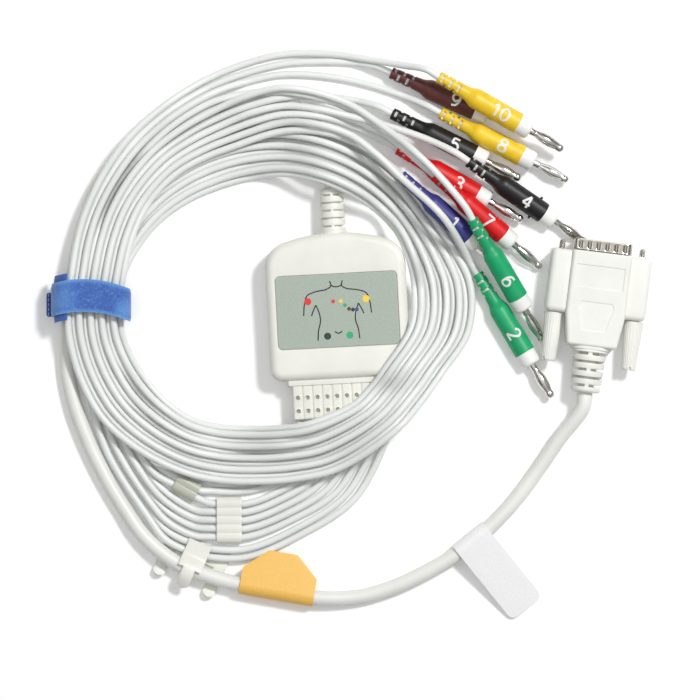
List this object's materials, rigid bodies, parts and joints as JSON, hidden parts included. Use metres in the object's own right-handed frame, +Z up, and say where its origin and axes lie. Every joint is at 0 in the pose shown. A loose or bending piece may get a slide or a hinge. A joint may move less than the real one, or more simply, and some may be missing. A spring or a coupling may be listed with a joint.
{
  "type": "ecg patient cable",
  "caption": "Coiled heart-recorder patient cable: D connector with thumbscrews, trunk, junction box and colour-coded banana-plug leads held by a hook-and-loop tie.",
  "frame": {"origin": "middle of the junction box's underside, on the table", "axes": "+Z up from the table; +Y towards the side where the trunk leaves the junction box; +X towards the D connector"},
  "size_m": [0.2521, 0.235, 0.0221],
  "materials": {
    "shell_white": "satin",
    "label_grey": "satin printed film",
    "board_green": "solder mask",
    "lead_jacket": "satin",
    "trunk_jacket": "satin",
    "hood_white": "fine grain",
    "plated_metal": "polished",
    "insert_black": "satin",
    "collar_white": "satin",
    "keeper_clear": "satin",
    "keeper_grey": "satin",
    "tie_blue": "hook and loop",
    "tag_orange": "film",
    "tag_white": "film",
    "boot_blue": "satin",
    "boot_green": "satin",
    "boot_red": "satin",
    "boot_black": "satin",
    "boot_yellow": "satin",
    "boot_brown": "satin"
  },
  "bodies": {
    "cable_set": {"lead_wire_01": "lead_jacket", "plug_boot_01": "boot_blue", "plug_collar_01": "collar_white", "plug_pin_01": "plated_metal", "lead_wire_02": "lead_jacket", "plug_boot_02": "boot_green", "plug_collar_02": "collar_white", "plug_pin_02": "plated_metal", "lead_wire_03": "lead_jacket", "plug_boot_03": "boot_red", "plug_collar_03": "collar_white", "plug_pin_03": "plated_metal", "lead_wire_04": "lead_jacket", "plug_boot_04": "boot_black", "plug_collar_04": "collar_white", "plug_pin_04": "plated_metal", "lead_wire_05": "lead_jacket", "plug_boot_05": "boot_black", "plug_collar_05": "collar_white", "plug_pin_05": "plated_metal", "lead_wire_06": "lead_jacket", "plug_boot_06": "boot_green", "plug_collar_06": "collar_white", "plug_pin_06": "plated_metal", "lead_wire_07": "lead_jacket", "plug_boot_07": "boot_red", "plug_collar_07": "collar_white", "plug_pin_07": "plated_metal", "lead_wire_08": "lead_jacket", "plug_boot_08": "boot_yellow", "plug_collar_08": "collar_white", "plug_pin_08": "plated_metal", "lead_wire_09": "lead_jacket", "plug_boot_09": "boot_brown", "plug_collar_09": "collar_white", "plug_pin_09": "plated_metal", "lead_wire_10": "lead_jacket", "plug_boot_10": "boot_yellow", "plug_collar_10": "collar_white", "plug_pin_10": "plated_metal", "yoke_upper_shell": "shell_white", "yoke_lower_shell": "shell_white", "yoke_label": "label_grey", "protection_board": "board_green", "lead_block": "shell_white", "yoke_relief": "shell_white", "connector_hood": "hood_white", "connector_relief": "hood_white", "connector_shell": "plated_metal", "contact_insert": "insert_black", "trunk_cable": "trunk_jacket", "tie_strap": "tie_blue", "keeper_two": "keeper_grey", "prong_clip": "shell_white", "orange_tag": "tag_orange", "flag_tag": "tag_white"},
    "left_thumbscrew": {"left_thumbscrew": "hood_white"},
    "right_thumbscrew": {"right_thumbscrew": "hood_white"},
    "keeper_five": {"keeper_five": "keeper_clear"}
  },
  "joints": [
    {"name": "left_thumbscrew_turn", "type": "hinge", "parent": "cable_set", "child": "left_thumbscrew", "pos_m": [0.09247, 0.02873, 0.008], "axis": [0.1219, 0.9925, 0], "continuous": true},
    {"name": "right_thumbscrew_turn", "type": "hinge", "parent": "cable_set", "child": "right_thumbscrew", "pos_m": [0.12553, 0.02467, 0.008], "axis": [0.1219, 0.9925, 0], "continuous": true},
    {"name": "keeper_five_slide", "type": "slide", "parent": "cable_set", "child": "keeper_five", "axis": [1, 0, 0], "range_m": [-0.002, 0.002]}
  ]
}
